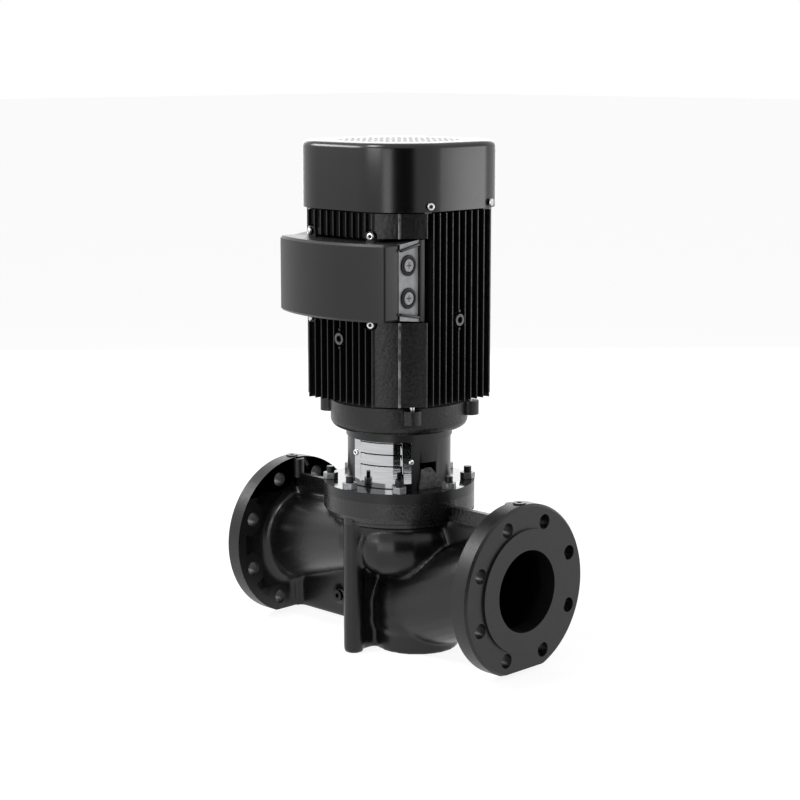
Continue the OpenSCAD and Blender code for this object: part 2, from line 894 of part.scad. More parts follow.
module drive_end_shield() {
    color("#2b2d2f")
    difference() {
        union() {
            translate([0, 0, stool_top])
            rotate_extrude($fn = 96)
            difference() {
                union() {
                    square([shield_r - bowl_r, shield_h]);
                    translate([0, bowl_r]) square([shield_r, shield_h - bowl_r]);
                    translate([shield_r - bowl_r, bowl_r]) circle(bowl_r);
                }
                translate([drive_out_r + 6, shield_floor])
                square([shield_r - shield_wall - drive_out_r - 6, shield_h]);
                translate([-1, shield_floor + drive_w + 2]) square([drive_out_r + 8, shield_h]);
            }
            translate([0, 0, stool_top - spigot_h]) cylinder(h = spigot_h + over, r = spigot_r);
            lug_places() translate([0, 0, shield_top - 1 - lug_h]) cylinder(h = lug_h, r = lug_r);
        }
        translate([0, 0, drive_bearing_z]) cylinder(h = shield_h, r = drive_out_r + fit);
        translate([0, 0, stool_top - spigot_h - over]) cylinder(h = spigot_h + shield_h, r = lip_r + fit);
        translate([0, 0, stool_top + shield_floor]) cylinder(h = shield_h, r = drive_out_r + fit);
        lug_places() {
            translate([0, 0, stool_top]) cylinder(h = shield_h, r = lug_bolt_r + thread_gap);
            translate([0, 0, shield_top - 2 - lug_h]) cylinder(h = lug_seat + 1, r = 7);
        }
        stool_screw_places() translate([0, 0, stool_top - over])
            cylinder(h = 9 + over, r = stool_screw_r + thread_gap);
    }
}

module lip_seal() {
    color("#303032")
    translate([0, 0, stool_top - 2]) ring(shaft_r + free_gap, lip_r, 8);
}

module shield_bolts() {
    color("#c9ccd0")
    lug_places() {
        translate([0, 0, shield_top - 1 - lug_h + lug_seat])
        cylinder(h = lug_h + 1 - lug_seat + 26, r = lug_bolt_r);
        translate([0, 0, shield_top - lug_h]) hexagon(10, lug_seat - 1);
    }
}

// Motor frame: a tube with cooling fins on four faces and smooth corners
corner_r = fin_tip + 11;
corner_t = 7;
corner_from = 29;
ridge_r = 3;
frame_boss_h = 26;
earth_r = 7.5;
earth_z = fin_z + 105;
earth_low_z = fin_z + 81;

module fin_row() {
    root = fin_t/2 + 0.9;
    for (i = [0:fins - 1]) translate([(i - (fins - 1)/2)*fin_pitch, 0])
        polygon([[-root, -58], [-fin_t/2, -fin_tip], [fin_t/2, -fin_tip], [root, -58]]);
}

module corner_wall() {
    rotate(-45) intersection() {
        difference() {
            circle(corner_r, $fn = 96);
            circle(corner_r - corner_t, $fn = 96);
        }
        polygon([[0, 0], [200, 200*tan(corner_from - 45)], [200, -200*tan(corner_from - 45)]]);
    }
    rotate(-45) translate([corner_r - 1.5, 0]) circle(ridge_r);
    rotate(-45) translate([frame_r - 3, -3]) square([corner_r - frame_r, 6]);
}

module frame_section() {
    difference() {
        union() {
            circle(frame_r, $fn = 96);
            for (face = [0:3]) rotate(90*face) {
                fin_row();
                corner_wall();
            }
        }
        circle(stator_r + fit, $fn = 96);
    }
}

module box_recess() {
    seat = base_h/2 + base_flare + free_gap;
    front = box_h/2 + 3.5;
    difference() {
        union() {
            translate([-corner_r, 0, box_z]) rotate([90, 0, 90]) linear_extrude(2*corner_r)
            polygon([
                [fit - base_back, -seat], [-fin_tip - 12, -front],
                [-fin_tip - 12, front], [fit - base_back, seat]
            ]);
            box_ear_places() rotate([90, 0, 0]) translate([0, 0, -14]) cylinder(h = 60, r = ear_r + 2);
        }
        translate([0, 0, box_z - 100]) cylinder(h = 200, r = frame_r, $fn = 96);
    }
}

module box_ear_places() {
    for (x = [-ear_x, ear_x]) for (z = [-ear_z, ear_z]) translate([x, -box_joint_y, box_z + z]) children();
}

// Earth terminal bosses, each in a gap of the middle fin; axes point outwards
module earth_places() {
    for (a = [0, 180]) rotate([0, 0, a]) translate([fin_tip, 0, earth_z]) rotate([0, 90, 0]) children();
    for (a = [-90, 90]) rotate([0, 0, a]) translate([fin_tip, 0, earth_low_z]) rotate([0, 90, 0])
        children();
}

module stator_frame() {
    color("#232527")
    difference() {
        union() {
            difference() {
                translate([0, 0, fin_z]) linear_extrude(fin_h) frame_section();
                earth_places() translate([-14, -3, -5]) cube([28, 6, 6]);
            }
            translate([-fin_pitch*(fins - 1)/2, 4.5 - fin_tip, box_z])
            cube([fin_pitch*(fins - 1), 16, frame_top - box_z]);
            translate([0, 0, shield_top]) ring(stator_r + fit, frame_r, 10, $fn = 96);
            lug_places() translate([0, 0, fin_z]) cylinder(h = frame_boss_h, r = lug_bolt_r + 4.8);
            earth_places() translate([0, 0, -12]) cylinder(h = 14, r = earth_r);
            for (z = [-11.5, 11.5]) earth_places() translate([z, 0, -9]) cylinder(h = 10, r = 1.8);
        }
        box_recess();
        lug_places() translate([0, 0, fin_z - over])
            cylinder(h = frame_boss_h - 4, r = lug_bolt_r + thread_gap);
        earth_places() translate([0, 0, -3]) cylinder(h = 6, r = 4.2);
        rear_screw_places() translate([0, 0, frame_top - 15])
            cylinder(h = 16, r = rear_screw_r + thread_gap);
        translate([0, 0, shield_top - over]) cylinder(h = fin_h + 12, r = stator_r + fit, $fn = 96);
    }
}

// Active parts of the motor
slot_depth = 16;
slot_w = 6;
tooth_tip = 3;
air_gap = 0.5;
winding_rise = 26;

module core_slot(gap) {
    translate([rotor_r + air_gap + tooth_tip + gap, -slot_w/2 + gap])
    square([slot_depth - 2*gap, slot_w - 2*gap]);
}

module stator_core() {
    color("#8a8c8e")
    translate([0, 0, core_z]) linear_extrude(core_h)
    difference() {
        circle(stator_r, $fn = 96);
        circle(rotor_r + air_gap, $fn = 96);
        for (i = [0:slots - 1]) rotate(360*i/slots) {
            core_slot(0);
            translate([rotor_r, -1]) square([tooth_tip + 1.5, 2]);
        }
    }
}

module stator_windings() {
    inner = rotor_r + air_gap + tooth_tip + free_gap;
    color("#b5652d")
    union() {
        translate([0, 0, core_z - 2]) linear_extrude(core_h + 4)
        for (i = [0:slots - 1]) rotate(360*i/slots) core_slot(free_gap);
        for (z = [core_z - winding_rise, core_z + core_h + 1])
            translate([0, 0, z]) ring(inner, inner + slot_depth + 3, winding_rise - 1);
    }
}

module rotor_core() {
    color("#7a7c7e")
    translate([0, 0, core_z]) ring(rotor_shaft_r + fit, rotor_r, core_h);
}

module rotor_rings() {
    color("#b9bcbf")
    for (top = [0, 1]) translate([0, 0, top ? core_z + core_h : core_z - 9]) {
        ring(rotor_r - 18, rotor_r - 2, 9);
        for (i = [0:7]) rotate([0, 0, 45*i]) translate([rotor_r - 14, -1.5, top ? 8 : -8]) cube([9, 3, 9]);
    }
}

module motor_shaft() {
    color("#b5b8bb")
    rotate_extrude()
    polygon([
        [0, shaft_joint_z + 1], [shaft_r, shaft_joint_z + 1], [shaft_r, drive_bearing_z - 1],
        [drive_in_r, drive_bearing_z - 1], [drive_in_r, drive_bearing_z + drive_w],
        [rotor_shaft_r, drive_bearing_z + drive_w], [rotor_shaft_r, rear_bearing_z],
        [rear_seat_r, rear_bearing_z], [rear_seat_r, rear_bearing_z + rear_w + 3],
        [fan_seat_r, rear_bearing_z + rear_w + 3], [fan_seat_r, fan_z + fan_h + 6], [0, fan_z + fan_h + 6]
    ]);
}

// Deep groove ball bearing from its bore, outside and width
function ball_size(inner, outer) = 0.27*(outer - inner);
function pitch_r(inner, outer) = (inner + outer)/2;

module race_outer(inner, outer, w) {
    ball = ball_size(inner, outer);
    pitch = pitch_r(inner, outer);
    rotate_extrude()
    difference() {
        translate([pitch + 0.55*ball, 0]) square([outer - pitch - 0.55*ball, w]);
        translate([pitch, w/2]) circle(ball + free_gap);
    }
}

module race_inner(inner, outer, w) {
    ball = ball_size(inner, outer);
    pitch = pitch_r(inner, outer);
    rotate_extrude()
    difference() {
        translate([inner + fit, 0]) square([pitch - 0.55*ball - inner - fit, w]);
        translate([pitch, w/2]) circle(ball + free_gap);
    }
}

module balls(inner, outer, w) {
    for (i = [0:7]) rotate([0, 0, 45*i]) translate([pitch_r(inner, outer), 0, w/2])
        sphere(ball_size(inner, outer));
}

module cage(inner, outer, w) {
    pitch = pitch_r(inner, outer);
    difference() {
        translate([0, 0, 0.8]) ring(pitch - 1.1, pitch + 1.1, w - 1.6);
        for (i = [0:7]) rotate([0, 0, 45*i]) translate([pitch - 4, 0, w/2]) rotate([0, 90, 0])
            cylinder(h = 8, r = ball_size(inner, outer) + fit);
    }
}

module at_drive_bearing() {
    translate([0, 0, drive_bearing_z]) children();
}

module at_rear_bearing() {
    translate([0, 0, rear_bearing_z]) children();
}

module drive_bearing_outer() {
    color("#b5b8bb") at_drive_bearing() race_outer(drive_in_r, drive_out_r, drive_w);
}

module drive_bearing_inner() {
    color("#b5b8bb") at_drive_bearing() race_inner(drive_in_r, drive_out_r, drive_w);
}

module drive_bearing_balls() {
    color("#dcdee0") at_drive_bearing() balls(drive_in_r, drive_out_r, drive_w);
}

module drive_bearing_cage() {
    color("#b08d57") at_drive_bearing() cage(drive_in_r, drive_out_r, drive_w);
}

module rear_bearing_outer() {
    color("#b5b8bb") at_rear_bearing() race_outer(rear_seat_r, rear_out_r, rear_w);
}

module rear_bearing_inner() {
    color("#b5b8bb") at_rear_bearing() race_inner(rear_seat_r, rear_out_r, rear_w);
}

module rear_bearing_balls() {
    color("#dcdee0") at_rear_bearing() balls(rear_seat_r, rear_out_r, rear_w);
}

module rear_bearing_cage() {
    color("#b08d57") at_rear_bearing() cage(rear_seat_r, rear_out_r, rear_w);
}

wave_t = 1.5;

module bearing_wave_washer() {
    color("#9a9da0")
    translate([0, 0, rear_bearing_z + rear_w]) ring(rear_out_r - 4, rear_out_r - 0.5, wave_t);
}

// Rear end shield: a plate with a bearing hub and four ears for the fan cover
rear_shield_t = 10;
rear_screw_r = 2.5;
rear_screw_ring = stator_r + 4;
ear_half = 6;

function corner_x(y, half, corner) =
    half - corner + sqrt(pow(corner, 2) - pow(abs(y) - half + corner, 2));

cover_in = cover_half - cover_wall;
ear_face_x = corner_x(cover_screw_y + ear_half, cover_in, cover_corner - cover_wall) - free_gap;

module rear_screw_places() {
    for (i = [0:3]) rotate([0, 0, 90*i]) translate([rear_screw_ring, 0, 0]) children();
}

module rear_end_shield() {
    color("#2b2d2f")
    difference() {
        union() {
            translate([0, 0, frame_top]) cylinder(h = rear_shield_t, r = frame_r);
            translate([0, 0, rear_bearing_z - 3])
            cylinder(h = frame_top - rear_bearing_z + 4, r = rear_out_r + 8);
            for (x = [-1, 1]) for (y = [-1, 1])
                translate([x > 0 ? 55 : -ear_face_x, y*cover_screw_y - ear_half, frame_top])
                cube([ear_face_x - 55, 2*ear_half, cover_screw_z + ear_half - frame_top]);
        }
        translate([0, 0, rear_bearing_z - 3 - over])
        cylinder(h = 3 + over + rear_w + wave_t + 0.5, r = rear_out_r + fit);
        translate([0, 0, frame_top - over]) cylinder(h = rear_shield_t + 2*over, r = rear_seat_r + 1);
        rear_screw_places() translate([0, 0, frame_top - over])
            cylinder(h = rear_shield_t + 2*over, r = rear_screw_r + thread_gap);
        cover_screw_places() translate([0, 0, -20]) cylinder(h = 20 + over, r = cover_screw_r + thread_gap);
    }
}

module rear_shield_screws() {
    color("#9a9da0")
    rear_screw_places() {
        translate([0, 0, frame_top - 14]) cylinder(h = rear_shield_t + 14, r = rear_screw_r);
        translate([0, 0, frame_top + rear_shield_t]) cylinder(h = 3.5, r = rear_screw_r + 1.8);
    }
}

cover_screw_r = 2.5;
cover_skin_x = corner_x(cover_screw_y, cover_half, cover_corner);

module cover_screw_places() {
    for (x = [0, 180]) for (y = [-1, 1]) rotate([0, 0, x])
        translate([cover_skin_x, y*cover_screw_y, cover_screw_z]) rotate([0, 90, 0]) children();
}

module fan() {
    color("#3c3e40")
    translate([0, 0, fan_z])
    difference() {
        union() {
            cylinder(h = fan_h, r = fan_seat_r + 9);
            cylinder(h = 3, r = fan_r - 30);
            for (i = [0:blades - 1]) rotate([0, 0, 360*i/blades])
                translate([fan_seat_r + 4, -1.25, 0]) cube([fan_r - fan_seat_r - 4, 2.5, fan_h - 4]);
        }
        translate([0, 0, -over]) cylinder(h = fan_h + 2*over, r = fan_seat_r + fit);
    }
}

module fan_clip() {
    color("#9a9da0")
    translate([0, 0, fan_z + fan_h]) ring(fan_seat_r + fit, fan_seat_r + 4, 1.5);
}

// Points of a square with round corners
corner_steps = 12;
function rounded_square(half, corner) = [for (q = [0:3]) for (i = [0:corner_steps])
    let(a = 90*q + 90*i/corner_steps, c = half - corner)
    [c*(q == 0 || q == 3 ? 1 : -1) + corner*cos(a), c*(q < 2 ? 1 : -1) + corner*sin(a)]];

module cover_body(inset, h, round_r) {
    hull() {
        linear_extrude(h - round_r) polygon(rounded_square(cover_half - inset, cover_corner - inset));
        for (a = [30, 60, 90]) {
            more = inset + round_r*(1 - cos(a));
            translate([0, 0, h - round_r + round_r*sin(a) - 0.01]) linear_extrude(0.01)
            polygon(rounded_square(cover_half - more, cover_corner - more));
        }
    }
}

grille_r = 78;

module grille_holes() {
    n = floor(grille_r/grille_pitch);
    for (i = [-n:n]) for (j = [-n:n])
        if (norm([i, j])*grille_pitch < grille_r)
            translate([i*grille_pitch, j*grille_pitch]) circle(d = grille_hole_d, $fn = 16);
}

module fan_cover() {
    color("#2e3032")
    difference() {
        translate([0, 0, cover_z]) cover_body(0, cover_h, 7);
        translate([0, 0, cover_z - over]) cover_body(cover_wall, cover_h - cover_wall + over, 5);
        translate([0, 0, cover_top - cover_wall - over]) linear_extrude(cover_wall + 2*over) grille_holes();
        cover_screw_places() translate([0, 0, -6]) cylinder(h = 10, r = cover_screw_r + thread_gap);
    }
}

module fan_cover_screws() {
    color("#d8dadc")
    cover_screw_places() {
        translate([0, 0, -13]) cylinder(h = 14.5, r = cover_screw_r);
        translate([0, 0, 1.3]) cylinder(h = 2.4, r = cover_screw_r + 2);
    }
}

// Terminal box: a base that fits the frame, a gasket and a bowed cover
box_front_y = box_joint_y + box_corner_depth;
box_tip_y = box_joint_y + box_depth;
box_bow = box_tip_y - box_front_y;
box_bow_half = box_half - 3;
box_bow_r = (pow(box_bow_half, 2) + pow(box_bow, 2))/(2*box_bow);
box_corner_r = 4;

module box_outline(inset) {
    points = [for (i = [-8:8]) let(a = asin(box_bow_half/box_bow_r)*i/8)
        [(box_bow_r - inset)*sin(a), -box_tip_y + box_bow_r - (box_bow_r - inset)*cos(a)]];
    hull() {
        polygon(points);
        for (x = [-1, 1]) translate([x*(box_half - box_corner_r), -box_front_y + box_corner_r])
            circle(max(box_corner_r - inset, 0.5), $fn = 32);
        translate([-box_half + inset, -box_joint_y - 1]) square([2*(box_half - inset), 1]);
    }
}

module box_shell(inset, round_r) {
    half = box_h/2 - inset;
    hull() {
        translate([0, 0, -half + round_r]) linear_extrude(2*half - 2*round_r) box_outline(inset);
        translate([0, 0, -half]) linear_extrude(2*half) box_outline(inset + round_r);
    }
}

module terminal_box_cover() {
    color("#2b2d2f")
    difference() {
        union() {
            translate([0, 0, box_z]) box_shell(0, 3);
            box_ear_places() rotate([90, 0, 0]) cylinder(h = 6, r = ear_r);
            for (x = [-ear_x, ear_x]) translate([x - ear_r, -box_joint_y - 6, box_z - ear_z])
                cube([2*ear_r, 6, 2*ear_z]);
        }
        intersection() {
            translate([0, 0, box_z]) box_shell(box_wall, 2);
            translate([-box_half, -box_tip_y, box_z - box_h]) cube([2*box_half, box_depth + over, 2*box_h]);
        }
        translate([-box_half + box_wall, -box_joint_y - 3, box_z - box_h/2 + box_wall])
        cube([2*(box_half - box_wall), 6, box_h - 2*box_wall]);
        translate([-300, -box_joint_y, box_z - box_h]) cube([600, 30, 2*box_h]);
        box_ear_places() rotate([90, 0, 0]) translate([0, 0, -over])
            cylinder(h = 8, r = 2.5 + thread_gap);
    }
}

gasket_back = 1.5;

module terminal_box_gasket() {
    color("#1c1c1d")
    translate([0, -box_joint_y + gasket_back, box_z])
    rotate([90, 0, 0])
    linear_extrude(gasket_back)
    difference() {
        square([2*box_half - 2, base_h - 2], center = true);
        square([2*box_half - 12, base_h - 12], center = true);
    }
}

// Recess of a cable entry panel, wider at the frame than at the cover
module entry_recess() {
    outer = base_h/2 - 7;
    inner = base_h/2 + 1;
    rotate([90, 0, 90]) linear_extrude(8)
    polygon([
        [-box_joint_y - 1, -outer], [-box_joint_y - 1, outer],
        [-base_back + 1, inner], [-base_back + 1, -inner]
    ]);
}

module terminal_box_base() {
    color("#3a3c3e")
    difference() {
        union() {
            translate([-base_half, 0, box_z]) rotate([90, 0, 90]) linear_extrude(2*base_half)
            polygon([
                [gasket_back - box_joint_y, base_h/2], [gasket_back - box_joint_y, -base_h/2],
                [-base_back, -base_h/2 - base_flare], [-base_back, base_h/2 + base_flare]
            ]);
            box_ear_places() rotate([-90, 0, 0]) translate([0, 0, gasket_back]) cylinder(h = 12, r = ear_r);
            for (x = [-ear_x, ear_x]) translate([x - ear_r, gasket_back - box_joint_y, box_z - ear_z])
                cube([2*ear_r, 12, 2*ear_z]);
        }
        difference() {
            translate([-box_half + 6, -box_joint_y - 2, box_z - base_h/2 + 5])
            cube([2*box_half - 12, box_joint_y - base_back - 3, base_h - 10]);
            translate([0, 0, box_z - box_h]) cylinder(h = 2*box_h, r = frame_r + 5, $fn = 96);
        }
        translate([0, 0, box_z - box_h]) cylinder(h = 2*box_h, r = frame_r + seat_gap, $fn = 96);
        for (side = [0, 1]) mirror([side, 0, 0]) translate([box_half, 0, box_z]) entry_recess();
        entry_places() translate([0, 0, -12]) cylinder(h = 14, r = entry_d/2);
        box_ear_places() rotate([-90, 0, 0]) translate([0, 0, gasket_back - over])
            cylinder(h = 11, r = 2.5 + thread_gap);
    }
}

module entry_places() {
    for (z = [-entry_step, entry_step])
        translate([box_half, -entry_y, box_z + z]) rotate([0, 90, 0]) children();
}

module cable_entry_rings() {
    color("#1f2022")
    entry_places() {
        translate([0, 0, -7]) ring(entry_d/2 - 3.5, entry_d/2 - thread_gap, 7);
        ring(entry_d/2 - 3.5, entry_d/2 + 1, 2.5);
    }
}

module cable_entry_plugs() {
    color("#4a4c4e")
    entry_places() translate([0, 0, -6]) difference() {
        cylinder(h = 9, r = entry_d/2 - 3.5 - thread_gap);
        translate([0, 0, 6]) hexagon(8, 4);
    }
}

module terminal_box_screws() {
    color("#d8dadc")
    box_ear_places() rotate([90, 0, 0]) {
        translate([0, 0, -11]) cylinder(h = 17, r = 2.5);
        translate([0, 0, 6]) difference() {
            cylinder(h = 3, r = 4.6);
            translate([0, 0, 1]) hexagon(4, 3);
        }
    }
}

board_t = 4;
board_back = frame_r + 5 + seat_gap;
post_step = 24;

module terminal_board() {
    color("#8c3b2a")
    difference() {
        translate([-38, -board_back - board_t, box_z - 26]) cube([76, board_t, 52]);
        terminal_places() translate([0, 0, -over]) cylinder(h = board_t + 2*over, r = 2.5 + thread_gap);
    }
}

module terminal_places() {
    for (x = [-1:1]) for (z = [-12, 12])
        translate([x*post_step, -board_back, box_z + z]) rotate([90, 0, 0]) children();
}

module terminal_studs() {
    color("#c9a44c")
    terminal_places() {
        cylinder(h = 20, r = 2.5);
        translate([0, 0, board_t]) cylinder(h = 4, r = 4.5);
    }
}

// Plugs of the casing
module socket_plug(r, depth) {
    difference() {
        union() {
            translate([0, 0, -depth]) cylinder(h = depth + over, r = r);
            cylinder(h = 2.5, r = r + 1.5);
        }
        translate([0, 0, -3]) hexagon(r, 8);
    }
}

module gauge_plug_suction() {
    color("#3a3c3e")
    translate([gauge_x, 0, flange_top - 1]) socket_plug(gauge_r, gauge_depth - 2);
}

module gauge_plug_discharge() {
    color("#3a3c3e")
    translate([-gauge_x, 0, flange_top - 1]) socket_plug(gauge_r, gauge_depth - 2);
}

module drain_plug() {
    color("#3a3c3e")
    translate([drain_at[0], -drain_boss, drain_at[2]]) rotate([90, 0, 0]) socket_plug(drain_r, 10);
}

pump_housing();
wear_ring();
pump_cover();
cover_gasket();
impeller();
impeller_washer();
impeller_nut();
pump_shaft();
seal_seat();
seal_ring();
seal_spring();
motor_stool();
housing_studs();
housing_nuts();
guard_front();
guard_rear();
guard_screws();
coupling_half_left();
coupling_half_right();
coupling_screws();
shaft_pin();
drive_end_shield();
shield_bolts();
stool_screws();
stator_frame();
stator_core();
stator_windings();
rotor_core();
rotor_rings();
motor_shaft();
drive_bearing_outer();
drive_bearing_inner();
drive_bearing_balls();
drive_bearing_cage();
rear_bearing_outer();
rear_bearing_inner();
rear_bearing_balls();
rear_bearing_cage();
bearing_wave_washer();
lip_seal();
rear_end_shield();
rear_shield_screws();
fan();
fan_clip();
fan_cover();
fan_cover_screws();
terminal_box_base();
terminal_box_gasket();
terminal_box_cover();
terminal_box_screws();
terminal_board();
terminal_studs();
cable_entry_rings();
cable_entry_plugs();
gauge_plug_suction();
gauge_plug_discharge();
drain_plug();
vent_screw();
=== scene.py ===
"""Black in-line circulation pump: looks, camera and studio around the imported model."""
import bmesh
import bpy
import json
import math
from mathutils import Matrix, Vector


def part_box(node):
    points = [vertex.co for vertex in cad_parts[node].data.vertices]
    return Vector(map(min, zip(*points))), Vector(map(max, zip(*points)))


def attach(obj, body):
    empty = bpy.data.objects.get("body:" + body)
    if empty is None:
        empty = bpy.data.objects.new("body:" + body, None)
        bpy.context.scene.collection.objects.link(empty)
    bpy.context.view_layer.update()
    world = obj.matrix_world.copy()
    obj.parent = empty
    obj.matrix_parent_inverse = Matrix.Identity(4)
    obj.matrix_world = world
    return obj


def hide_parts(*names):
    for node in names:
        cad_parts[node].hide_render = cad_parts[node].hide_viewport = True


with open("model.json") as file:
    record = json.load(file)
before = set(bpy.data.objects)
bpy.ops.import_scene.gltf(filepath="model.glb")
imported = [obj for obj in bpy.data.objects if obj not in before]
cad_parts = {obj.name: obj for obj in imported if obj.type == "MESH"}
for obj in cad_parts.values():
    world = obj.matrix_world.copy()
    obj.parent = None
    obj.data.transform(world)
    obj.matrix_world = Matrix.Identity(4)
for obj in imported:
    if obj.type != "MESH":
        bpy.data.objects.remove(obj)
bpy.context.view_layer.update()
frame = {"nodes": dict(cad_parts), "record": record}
nodes = frame["nodes"]
MM = 0.001

# Camera, as the photograph was taken
VIEW_AZIMUTH = math.radians(44.734)
VIEW_ELEVATION = math.radians(10.029)
VIEW_DISTANCE = 2.5222
VIEW_HEIGHT = 0.3223
VIEW_SHIFT = 0.00114
LENS = 86.85


def aim(thing, target):
    """Turns a camera or a lamp at the origin of its own axes towards a point."""
    way = Vector(target) - thing.location
    thing.rotation_euler = way.to_track_quat("-Z", "Y").to_euler()


def place_camera():
    """Sets up the camera that the values above describe."""
    right = Vector((math.cos(VIEW_AZIMUTH), math.sin(VIEW_AZIMUTH), 0))
    back = Vector((
        math.sin(VIEW_AZIMUTH) * math.cos(VIEW_ELEVATION),
        -math.cos(VIEW_AZIMUTH) * math.cos(VIEW_ELEVATION),
        math.sin(VIEW_ELEVATION),
    ))
    target = right * VIEW_SHIFT + Vector((0, 0, VIEW_HEIGHT))
    camera = bpy.data.objects.new("camera", bpy.data.cameras.new("camera"))
    bpy.context.collection.objects.link(camera)
    camera.data.lens = LENS
    camera.data.clip_end = 50
    camera.location = target + back * VIEW_DISTANCE
    aim(camera, target)
    bpy.context.scene.camera = camera


# ---------------------------------------------------------------- materials

LACQUER_ROUGHNESS = 0.2


def linear(code):
    """Linear colour of an sRGB hex value."""
    parts = [int(code[i:i + 2], 16) / 255 for i in (1, 3, 5)]
    return [*[c / 12.92 if c <= 0.04045 else ((c + 0.055) / 1.055) ** 2.4 for c in parts], 1]


def add(tree, kind, values=None, **settings):
    """Adds a shader node; values holds its inputs, as numbers or as sockets to link."""
    made = tree.nodes.new(kind)
    for name, value in settings.items():
        setattr(made, name, value)
    for name, value in (values or {}).items():
        if isinstance(value, bpy.types.NodeSocket):
            tree.links.new(value, made.inputs[name])
        else:
            made.inputs[name].default_value = value
    return made


def per_mm(size):
    """Noise scale for a feature of this many millimetres."""
    return 1000 / size


def blank(name):
    """A material without nodes, and its node tree."""
    material = bpy.data.materials.new(name)
    material.use_nodes = True
    material.node_tree.nodes.clear()
    return material, material.node_tree


def blend_colour(tree, factor, low, high):
    """Colour that goes from one hex value to another with a 0 to 1 socket."""
    mix = add(tree, "ShaderNodeMix", data_type="RGBA")
    tree.links.new(factor, mix.inputs[0])
    mix.inputs[6].default_value = linear(low)
    mix.inputs[7].default_value = linear(high)
    return mix.outputs[2]


def spread(tree, value, low, high, floor=0.3, ceiling=0.7):
    """Maps the useful middle of a noise to a range."""
    return add(tree, "ShaderNodeMapRange", {
        "Value": value, "From Min": floor, "From Max": ceiling, "To Min": low, "To Max": high,
    }).outputs["Result"]


def grained(name, low, high, rough, metallic=0.0, grain=1.6, depth=0.1, wave=14.0, wave_depth=0.0,
            stretch=(1, 1, 1), coat=0.0, level=0.5):
    """A surface with two layers of grain, in millimetres: fine grain and a slow wave.

    low and high are the ends of its colour and rough those of its roughness. grain and wave are the
    sizes of the layers, depth and wave_depth their heights. level is how strongly it mirrors.
    """
    material, tree = blank(name)
    place = add(tree, "ShaderNodeTexCoord").outputs["Object"]
    if stretch != (1, 1, 1):
        place = add(tree, "ShaderNodeMapping", {"Vector": place, "Scale": stretch}).outputs["Vector"]
    fine = add(tree, "ShaderNodeTexNoise", {
        "Vector": place, "Scale": per_mm(grain), "Detail": 3.0, "Roughness": 0.6,
    }).outputs["Fac"]
    slow = add(tree, "ShaderNodeTexNoise", {
        "Vector": place, "Scale": per_mm(wave), "Detail": 2.0, "Roughness": 0.5,
    }).outputs["Fac"]
    bump = add(tree, "ShaderNodeBump", {"Height": slow, "Distance": wave_depth * MM, "Strength": 1.0})
    bump = add(tree, "ShaderNodeBump", {
        "Height": fine, "Distance": depth * MM, "Strength": 1.0, "Normal": bump.outputs["Normal"],
    })
    shader = add(tree, "ShaderNodeBsdfPrincipled", {
        "Base Color": blend_colour(tree, spread(tree, slow, 0, 1), low, high),
        "Roughness": spread(tree, fine, rough[0], rough[1]),
        "Metallic": metallic,
        "Coat Weight": coat,
        "Coat Roughness": LACQUER_ROUGHNESS,
        "Specular IOR Level": level,
        "Normal": bump.outputs["Normal"],
    })
    out = add(tree, "ShaderNodeOutputMaterial")
    tree.links.new(shader.outputs["BSDF"], out.inputs["Surface"])
    return material


# Sand-cast grey iron under black enamel: a semi-gloss skin that follows the sand grain.
enamel_cast = grained("enamel_on_sand_cast_iron", "#060607", "#09090a", (0.27, 0.34),
                      grain=2.2, depth=0.06, wave=30, wave_depth=0.1, level=0.42)
# The same enamel on machined faces: the grain is finer and the sheen more even.
enamel_machined = grained("enamel_on_machined_iron", "#0a0a0b", "#101011", (0.34, 0.48),
                          grain=2.6, depth=0.12, wave=20, wave_depth=0.1, level=0.45)
# The rim of the casing head, left as cast: coarse sand grain under the enamel.
enamel_rim = grained("enamel_on_cast_rim", "#070708", "#0c0c0d", (0.22, 0.34),
                     grain=3.6, depth=0.4, wave=14, wave_depth=0.3, level=0.55)
# Enamel pooled on the milled top of the stool flange: smooth, it mirrors what is behind it.
enamel_pooled = grained("enamel_on_milled_iron", "#0a0a0b", "#101011", (0.1, 0.2),
                        grain=3.0, depth=0.02, wave=24, wave_depth=0.1)
# As-cast iron of the spout with thin paint: coarse grain that catches the light.
raw_casting = grained("thinly_painted_rough_casting", "#2c2c2d", "#5a5a5b", (0.5, 0.8),
                      grain=2.6, depth=0.5, wave=5, wave_depth=0.8)
# Painted shade deep in the gaps between the fins and in the holes of the fan cover's grille: a near-black
# matt colour where shade falls.
painted_gap_shade = grained("painted_shade_in_gaps", "#040404", "#070707", (0.6, 0.75), grain=4, depth=0.1, level=0.15)
# Painted highlight on the ridges of the frame's corners: a bright bare-metal strip stands in for the
# light that they catch.
painted_ridge_highlight = grained("painted_highlight_on_ridges", "#3e3f40", "#8a8b8c", (0.3, 0.45), metallic=1.0,
                    grain=3, depth=0.1, wave=9)
# Face-milled earth bosses with a thin coat.
milled_boss = grained("thinly_coated_milled_face", "#4c4d4e", "#626364", (0.4, 0.5), metallic=0.4,
                      grain=1.5, depth=0.03, wave=6)
# Die-cast aluminium of the motor under black enamel: tight grain, a little duller.
enamel_motor = grained("enamel_on_cast_aluminium", "#080809", "#0d0d0e", (0.3, 0.44),
                       grain=4.2, depth=0.6, wave=18, wave_depth=0.5, level=0.42)
# Pressed steel with smooth black powder coat: soft sheen and hardly any peel.
powder_coat = grained("powder_coat_on_pressed_steel", "#090909", "#0c0c0d", (0.2, 0.26),
                      grain=2.4, depth=0.012, wave=40, wave_depth=0.08, level=0.42)
# Satin black paint on the die-cast terminal box cover.
satin_box = grained("satin_paint_on_die_casting", "#0b0b0c", "#0f0f10", (0.34, 0.4),
                    grain=1.8, depth=0.02, wave=40, wave_depth=0.1, level=0.42)
